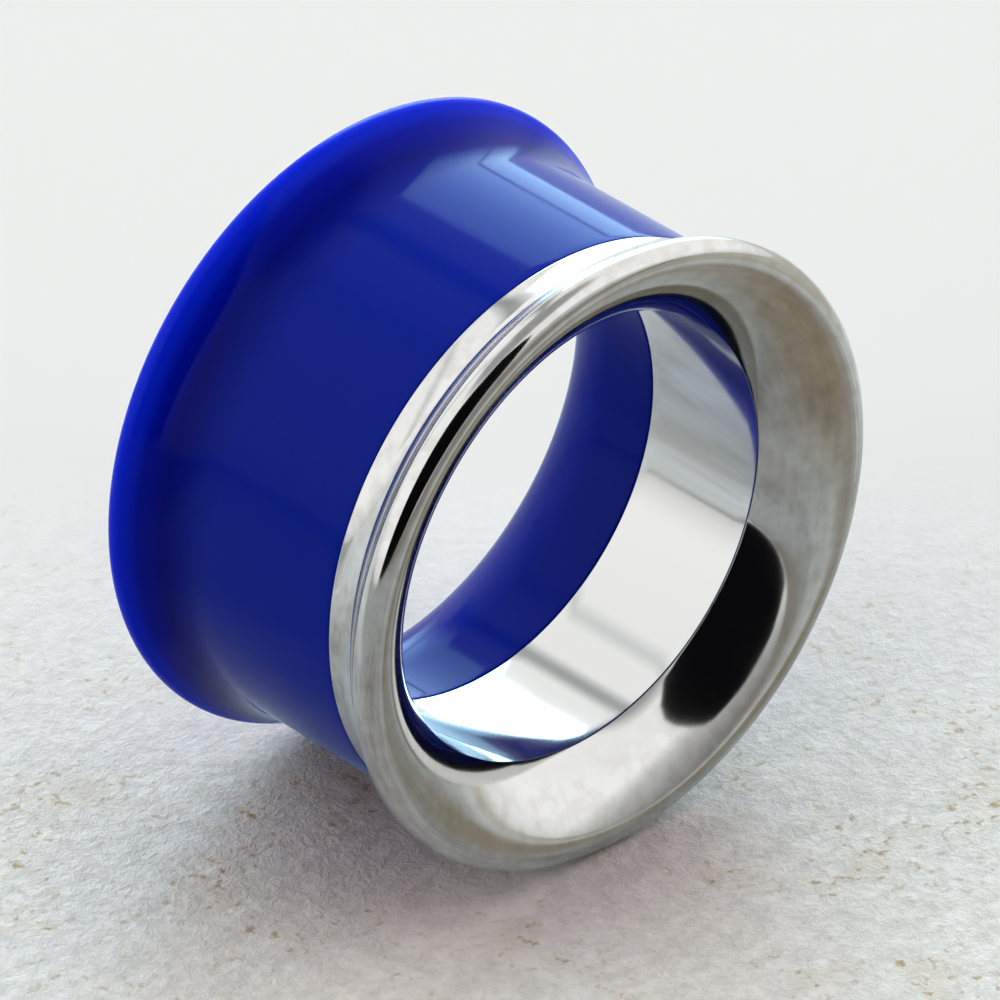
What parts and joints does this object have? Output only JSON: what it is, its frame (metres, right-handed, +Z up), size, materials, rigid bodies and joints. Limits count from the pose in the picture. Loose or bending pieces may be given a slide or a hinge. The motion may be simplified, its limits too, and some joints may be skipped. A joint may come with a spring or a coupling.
{
  "type": "ear plug gauge",
  "caption": "Flared ear tunnel: a polished steel front with a threaded tube screws into a glossy blue acrylic back, open right through.",
  "frame": {"origin": "on the floor under the middle of the tunnel, which lies on its two rims", "axes": "+Z up, the bore runs along Y and the steel front faces -Y"},
  "size_m": [0.0242, 0.0138, 0.0242],
  "materials": {
    "polished_steel": "mirror-polished stainless steel",
    "blue_acrylic": "glossy royal blue acrylic"
  },
  "bodies": {
    "back": {"acrylic_back": "blue_acrylic"},
    "front": {"steel_front": "polished_steel"}
  },
  "joints": [
    {"name": "front_unscrews", "type": "slide", "parent": "back", "child": "front", "axis": [0, -1, 0], "range_m": [0, 0.03]}
  ]
}
